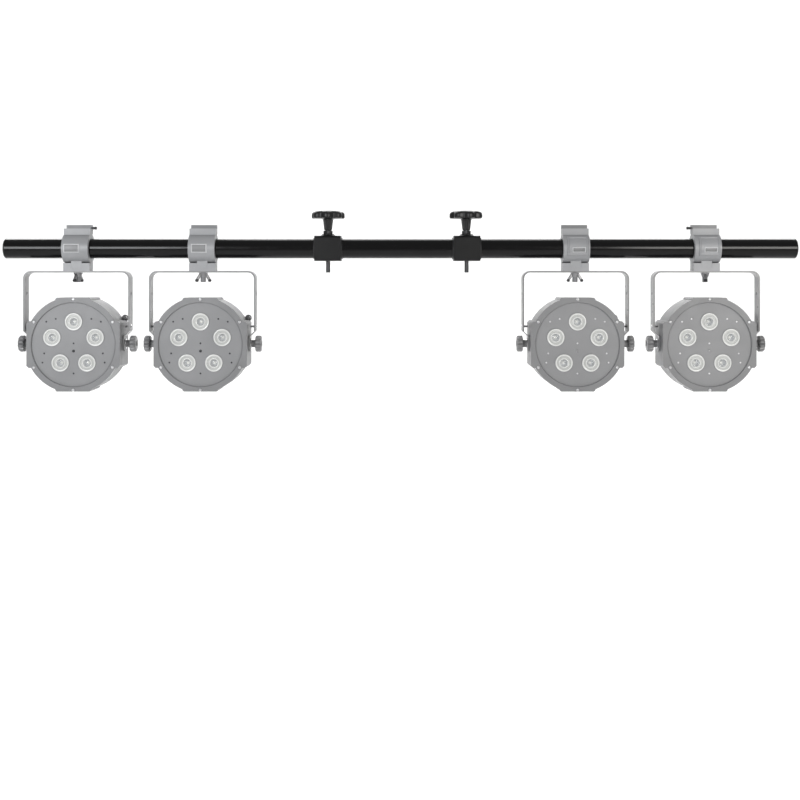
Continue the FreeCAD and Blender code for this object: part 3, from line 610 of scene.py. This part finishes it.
def make_wing_nut(lamp):
    """A cast wing nut: a round hub with two splayed wings run into it, hanging wings down."""
    name = f"lamp_{lamp}_wing_nut"
    seat = Vector((centre_of(name).x, 0, corners_of(name)[1].z))
    place = aim(seat, UP, WING_TURNS[lamp])
    upright = place @ Matrix.Rotation(math.radians(90), 4, "X")
    wing = [
        (4.5, -0.8), (7.0, -1.2), (9.0, -3.6), (12.2, -8.6), (15.0, -13.0), (15.4, -15.4), (14.2, -17.2),
        (12.2, -17.4), (10.6, -16.0), (8.4, -12.4), (6.4, -9.4), (4.5, -7.6),
    ]
    mirrored = [(-x, y) for x, y in reversed(wing)]
    hub = [(5.15, 0), (8.2, 0), (8.6, -0.5), (8.3, -1.6), (7.4, -3.4), (6.6, -6), (6.2, -8.2), (5.15, -8.4)]
    shapes = [prism(outline, WING_THICK, upright, bevel=1.3) for outline in (wing, mirrored)]
    shapes.append(lathe(hub, place))
    # The round pads at the wing tips are in the darker black oxide finish: painted shade on the wing ends, on
    # a nut that is one finish all over.
    tip_x, tip_y = WING_TIP_AT
    for side in (-1, 1):
        tip = upright @ Matrix.Translation((side * tip_x * MM, tip_y * MM, 0))
        shapes.append(prism(round_outline(WING_TIP_R, 20), WING_TIP_THICK, tip, bevel=1.4, material=1))
    piece = add_piece(name + "_cast", shapes, [dark_zinc, black_oxide], f"lamp_{lamp}_wing")
    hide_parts(name)


def make_yoke_details(lamp):
    """Rivet heads of the stop pins, on the outside of the legs."""
    prefix = f"lamp_{lamp}_"
    low, high = corners_of(prefix + "yoke")
    height = tilt_axis(lamp).z + RIVET_UP * MM
    dome = [(0, 1.7), (1.4, 1.6), (2.6, 1.1), (3.2, 0.4), (3.3, -0.1), (0, -0.1)]
    rivets = []
    for side, widest in ((-1, low.x), (1, high.x)):
        seat = Vector((widest - side * RIVET_IN * MM, 0, height))
        rivets.append(lathe(dome, aim(seat, Vector((side, 0, 0))), 28))
    add_piece(prefix + "yoke_rivets", rivets, [zinc_steel], prefix + "bracket")


for lamp, across in ((1, -6.0), (2, -4.0)):
    make_plate(lamp, "label_plate", (across, 0), (30, 17), 1.6, 1.2, [label_paint, bezel_paint])
for lamp, across in ((3, 2.0), (4, 2.5)):
    make_plate(lamp, "jaw_frame", (across, 5), (40, 40), 3.2, 1.8, [clamp_paint, clamp_paint])
    make_plate(lamp, "label_plate", (across + 2, -3), (26, 10), 1.8, 2.0, [label_paint, bezel_paint])
for lamp in LAMPS:
    make_clamp_details(lamp)
    make_wing_nut(lamp)
    make_yoke_details(lamp)


# ---- lamp heads: fronts ----

BEZEL_SCREW_RING = 85.6
# Face screws, across and up from the tilt axis: two in the middle, and the others on both sides
MIDDLE_SCREWS = [(0, -54.6), (0, 2.3)]
SIDE_SCREWS = [(33.6, 48.5), (51.5, 43.2), (55.3, -16.7), (58.7, -34)]
HUB_SCREW_UP = -12.2
LENS_RING = 43
EMITTER_DEEP, EMITTER_R, EMITTER_THICK = 12.6, 4.6, 1.0

# Turned outlines as (radius, height) from the face plate, forward being up
LENS = [
    (0, 1.3), (2.5, 1.1), (5, 0.6), (6.8, -0.3), (7.1, -1.2), (6.9, -2), (6.5, -5), (6, -9), (5.2, -11.6),
    (3.8, -11.8), (3.4, -7.5), (1.5, -6.4), (0, -6.2),
]
LENS_LIP = [(16.3, -0.5), (16.3, 0.9), (17.3, 0.7), (17.6, 0.1), (17.0, 0.0), (17.0, -2)]
LENS_FLANGE = [(13.2, 0.2), (13.5, 1.1), (15.0, 1.5), (16.0, 1.3), (16.4, 0.8), (16.4, -2), (13.2, -2)]
# The groove between barrel and flange takes the darker lens material, which is painted shade in the recess.
LENS_GROOVE = [(9.8, -0.8), (13.2, -0.8), (13.2, -1.6), (9.8, -1.6)]
LENS_BARREL = [(7.0, -0.4), (7.6, 0.4), (8.6, 0.8), (9.5, 0.5), (10.1, -0.4), (10.1, -2), (7.0, -2)]
LENS_CUP = [
    (7.2, -1.8), (7.0, -5.4), (6.8, -9.6), (5.8, -12.4), (5.8, -12.9), (7.4, -10.4), (7.8, -6), (8.0, -1.8),
]
EMITTER_DOME = [(0, 2.6), (1.4, 2.3), (2.4, 1.4), (2.8, 0.4), (0, 0.4)]

bezel_screw = pan_head("bezel_screw", 2.9, 1.5)
face_screw = pan_head("face_screw", 1.7, 0.6)
hub_screw = pan_head("hub_screw", 2.7, 0.9)


def make_head_screws(lamp):
    """Screws of the bezel and of the face plate, which are black in the face plates of lamps 1 and 2.
    Each is turned its own way."""
    prefix = f"lamp_{lamp}_"
    body = prefix + "head"
    bezel_y, plate_y = front_of(prefix + "bezel"), front_of(prefix + "face_plate")
    rim_spots = round_outline(BEZEL_SCREW_RING, 6, 90)
    rim = [aim(on_head(lamp, bezel_y, *spot), FRONT, 37 * k) for k, spot in enumerate(rim_spots)]
    screws = copies(prefix + "bezel_screws", bezel_screw, rim)
    add_mesh_piece(screws, [dull_zinc], body)

    face_spots = MIDDLE_SCREWS + [(side * x, up) for x, up in SIDE_SCREWS for side in (1, -1)]
    face = [aim(on_head(lamp, plate_y, *spot), FRONT, 25 * k) for k, spot in enumerate(face_spots)]
    screws = copies(prefix + "face_screws", face_screw, face)
    add_mesh_piece(screws, [black_oxide if lamp < 3 else dull_zinc], body)
    hub = [aim(on_head(lamp, plate_y, 0, HUB_SCREW_UP), FRONT, 20)]
    screws = copies(prefix + "hub_screw", hub_screw, hub)
    add_mesh_piece(screws, [black_oxide if lamp < 3 else dark_zinc], body)


def cup_facets(angle, radius, height):
    return radius * (1 + 0.02 * math.cos(12 * angle))


def make_lenses(lamp):
    """Five clear lenses, each in a ring, with a bright cup and an emitter behind."""
    prefix = f"lamp_{lamp}_"
    body = prefix + "head"
    plate_y = front_of(prefix + "face_plate")
    clear, rings, cups, chips = [], [], [], []
    for spot in round_outline(LENS_RING, 5, 90):
        seat = on_head(lamp, plate_y, *spot)
        place = aim(seat, FRONT)
        clear.append(lathe(LENS, place, 40))
        rings.append(lathe(LENS_LIP, place, material=2))
        rings.append(lathe(LENS_FLANGE, place))
        # The groove ring is painted darker as shade; the flange and barrel keep the frosted plastic's own
        # colour.
        rings.append(lathe(LENS_GROOVE, place, material=1))
        rings.append(lathe(LENS_BARREL, place))
        cups.append(lathe(LENS_CUP, place, reach=cup_facets))
        chip_place = aim(seat + BACK * EMITTER_DEEP * MM, FRONT)
        chips.append(prism(round_outline(EMITTER_R, 6, 30), EMITTER_THICK, chip_place, bevel=0.15))
        chips.append(lathe(EMITTER_DOME, chip_place, 28, material=1))
    lens_set = add_piece(prefix + "lens_set", clear, [lens_clear], body, 30)
    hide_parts(prefix + "lenses")
    add_piece(prefix + "lens_rings", rings, [lens_frost, lens_groove_painted_shade, face_paint], body)
    add_piece(prefix + "lens_cups", cups, [reflector_chrome], body)
    add_piece(prefix + "emitters", chips, [chip_ceramic, chip_gel], body)


# ---- lamp heads: backs ----

# How far the contacts' middles stand in from the panel's face, their size, and their spots in a socket
SIGNAL_PIN_DEEP, SIGNAL_PIN_RING = 6.3, 4.2
BLADE_DEEP, BLADE_SIZE, BLADE_SPOTS = 6.9, (2, 4.2, 9.5), ((-6, -1), (0, 2), (6, -1))
PANEL_SCREW_X, PANEL_SCREW_Z = 55, 33
SWITCHES, SWITCHES_ON = 10, (0, 3, 7)
SWITCHES_UP, SWITCH_PITCH, SWITCH_THROW = 31, 2.8, 1.2
BANK_SIZE, BANK_OUT, LEVER_SIZE, LEVER_OUT = (30, 9, 2.4), 1.0, (1.4, 2.2, 1.6), 2.4
SAFETY_EYE_AT, SAFETY_EYE_IN, SAFETY_EYE_R, SAFETY_EYE_WIRE = (80.5, 47), 3, 5.2, 1.5


def make_socket_contacts(lamp):
    """Three round pins in each signal socket and three blades in each power socket."""
    prefix = f"lamp_{lamp}_"
    panel_y = rear_of(prefix + "rear_panel")
    pin = [(0, 5.2), (0.8, 5), (1.2, 4.2), (1.2, -5.4), (0, -5.4)]
    contacts = []
    for side in SIDES:
        signal = opening_centre(f"{prefix}signal_{side}")
        for x, z in round_outline(SIGNAL_PIN_RING, 3, 30):
            spot = Vector((signal.x + x * MM, panel_y - SIGNAL_PIN_DEEP * MM, signal.z + z * MM))
            contacts.append(lathe(pin, aim(spot, BACK), 20))
        power = opening_centre(f"{prefix}power_{side}")
        for x, z in BLADE_SPOTS:
            spot = Vector((power.x + x * MM, panel_y - BLADE_DEEP * MM, power.z + z * MM))
            contacts.append(block(BLADE_SIZE, aim(spot, BACK), bevel=0.3))
    add_piece(prefix + "socket_contacts", contacts, [contact_brass], prefix + "head")


def make_panel_details(lamp):
    """The rear panel's screws and its row of ten address switches, three of them up."""
    prefix = f"lamp_{lamp}_"
    body = prefix + "head"
    panel_y = rear_of(prefix + "rear_panel")
    spots = [(x, z) for x in (-PANEL_SCREW_X, PANEL_SCREW_X) for z in (-PANEL_SCREW_Z, PANEL_SCREW_Z)]
    places = [aim(on_head(lamp, panel_y, *spot), BACK, 31 * k) for k, spot in enumerate(spots)]
    screws = copies(prefix + "panel_screws", bezel_screw, places)
    add_mesh_piece(screws, [zinc_steel], body)

    bank_place = aim(on_head(lamp, panel_y + BANK_OUT * MM, 0, SWITCHES_UP), BACK)
    bank = block(BANK_SIZE, bank_place, bevel=0.4)
    levers = []
    for k in range(SWITCHES):
        across = (k - (SWITCHES - 1) / 2) * SWITCH_PITCH
        up = SWITCHES_UP + (SWITCH_THROW if k in SWITCHES_ON else -SWITCH_THROW)
        place = aim(on_head(lamp, panel_y + LEVER_OUT * MM, across, up), BACK)
        levers.append(block(LEVER_SIZE, place, bevel=0.2))
    add_piece(prefix + "switch_bank", [bank], [switch_red], body)
    add_piece(prefix + "switch_levers", levers, [board_white], body)


def make_safety_eye(lamp):
    """A ring for the safety cable at the housing's upper corner, on a foot sunk into its back."""
    prefix = f"lamp_{lamp}_"
    eye = on_head(lamp, rear_of(prefix + "housing") - SAFETY_EYE_IN * MM, *SAFETY_EYE_AT)
    out = Vector((SAFETY_EYE_AT[0], 0, SAFETY_EYE_AT[1])).normalized()
    foot = lathe([(0, -6), (3, -6), (3, 1.5), (5, 2), (5, 3.2), (0, 3.6)], aim(eye, BACK), 32)
    loop_middle = eye + (BACK * 4.5 + out * SAFETY_EYE_WIRE) * MM
    loop = ring_of(SAFETY_EYE_R, SAFETY_EYE_WIRE, aim(loop_middle, BACK))
    add_piece(prefix + "safety_eye", [foot, loop], [yoke_paint], prefix + "head")


# ---- tilt knobs ----

TILT_GRIP_R, TILT_GRIP_THICK = 15.5, 11.5


def make_tilt_knob(lamp, side):
    """A round grip with ten rounded flutes on its rim, a neck, a washer and the end of its stud."""
    name = f"lamp_{lamp}_tilt_knob_{side}"
    body = f"lamp_{lamp}_knob_{side}"
    low, high = corners_of(name)
    inner_x = high.x if side == "left" else low.x
    place = aim(Vector((inner_x, 0, tilt_axis(lamp).z)), Vector((SIDES[side], 0, 0)))
    length = (high.x - low.x) / MM
    grip_low = length - TILT_GRIP_THICK
    profile = [
        (0, length - 1.8), (4.5, length - 1.8), (5.2, length - 1.4), (6, length - 0.2), (8, length),
        (12.6, length - 0.1), (14.4, length - 0.8), (15.2, length - 1.9), (TILT_GRIP_R, length - 3.4),
        (TILT_GRIP_R, grip_low + 2.2), (15.1, grip_low + 0.8), (14.0, grip_low), (10.5, grip_low - 0.1),
        (8.4, grip_low - 0.5), (7.2, grip_low - 1.6), (7, grip_low - 4), (7, 19.2), (0, 19.2),
    ]
    flutes = scallops(count=10, depth=3.0, rim=TILT_GRIP_R, narrow=3, fade=4)

    def outline(angle, radius, height):
        on_rim = height >= grip_low - 0.2 and radius >= 9
        return flutes(angle, radius, height) if on_rim else radius

    grip = lathe(profile, place, 120, outline)
    piece = add_piece(name + "_grip", [grip], [tilt_plastic], body, 50)
    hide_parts(name)
    washer = lathe([(4.1, 17.45), (9.2, 17.45), (9.5, 17.7), (9.5, 18.6), (9.2, 18.9), (4.1, 18.9)], place)
    stud = lathe([(0, 0), (3.6, 0), (4, 0.5), (4, 19.4), (0, 19.4)], place, 32)
    add_piece(name + "_stud", [washer, stud], [zinc_steel], body)


for lamp in LAMPS:
    make_head_screws(lamp)
    make_lenses(lamp)
    make_socket_contacts(lamp)
    make_panel_details(lamp)
    make_safety_eye(lamp)
    for side in SIDES:
        make_tilt_knob(lamp, side)


# ---- floor, light and camera, in metres ----

FLOOR_Z = -0.95


def make_backdrop():
    """A pale floor that curves up into a wall behind."""
    wall_y, wall_top, bend, half, steps = 2.6, 4.0, 1.0, 6.0, 12
    line = [(-half, FLOOR_Z), (wall_y - bend, FLOOR_Z)]
    for k in range(1, steps + 1):
        angle = math.radians(90 * k / steps)
        line.append((wall_y - bend + bend * math.sin(angle), FLOOR_Z + bend * (1 - math.cos(angle))))
    line.append((wall_y, wall_top))
    shape = bmesh.new()
    rows = [[shape.verts.new((x, y, z)) for x in (-half, half)] for y, z in line]
    for low, high in zip(rows, rows[1:]):
        shape.faces.new((low[0], low[1], high[1], high[0]))
    mesh = bpy.data.meshes.new("backdrop")
    shape.to_mesh(mesh)
    shape.free()
    mesh.materials.append(surface("backdrop_paper", (0.9, 0.9, 0.9), 0.9, tone=0.01, patch=2.0, grain=60.0))
    mesh.shade_smooth()
    backdrop = bpy.data.objects.new("backdrop", mesh)
    bpy.context.scene.collection.objects.link(backdrop)


def add_light(name, place, target, size, power, color=(1, 1, 1)):
    """A rectangular soft light of power watts that faces its target."""
    data = bpy.data.lights.new(name, "AREA")
    data.shape = "RECTANGLE"
    data.size, data.size_y = size
    data.energy = power
    data.color = color
    light = bpy.data.objects.new(name, data)
    light.location = place
    light.rotation_mode = "QUATERNION"
    light.rotation_quaternion = (Vector(target) - Vector(place)).to_track_quat("-Z", "Y")
    bpy.context.scene.collection.objects.link(light)


def make_lights():
    """A softbox before each half of the bar, one overhead, and a wash that keeps the floor pale."""
    softbox, sky = (1.0, 0.85), 0.42
    add_light("left_softbox", (-1.3, -2.15, 0.3), (-0.5, 0, -0.05), softbox, 31, (0.96, 0.98, 1))
    add_light("right_softbox", (1.35, -2.15, 0.3), (0.5, 0, -0.05), softbox, 28, (1, 0.985, 0.95))
    add_light("overhead", (0, 0.9, 1.7), (0, 0, 0), (1.2, 0.4), 8)
    add_light("floor_wash", (0, 2.1, 1.9), (0, 1.3, FLOOR_Z), (5.0, 0.8), 105)
    world = bpy.data.worlds.new("studio")
    world.use_nodes = True
    background = world.node_tree.nodes["Background"]
    background.inputs["Color"].default_value = (1, 1, 1, 1)
    background.inputs["Strength"].default_value = sky
    bpy.context.scene.world = world
    bpy.context.scene.view_settings.view_transform = "Standard"


def make_camera():
    """Just under the bar and square to it, with the lens shifted down until the bar is near the top."""
    distance, seen_width, across = 2.2, 1.5317, 0.0051
    height, picture_middle = TUBE_Z - 0.05, TUBE_Z - 0.29
    data = bpy.data.cameras.new("camera")
    data.sensor_width = 36
    data.lens = data.sensor_width * distance / seen_width
    data.shift_y = (picture_middle - height) / seen_width
    camera = bpy.data.objects.new("camera", data)
    camera.location = (across, -distance, height)
    camera.rotation_euler = (math.radians(90), 0, 0)
    bpy.context.scene.collection.objects.link(camera)
    bpy.context.scene.camera = camera


make_backdrop()
make_lights()
make_camera()
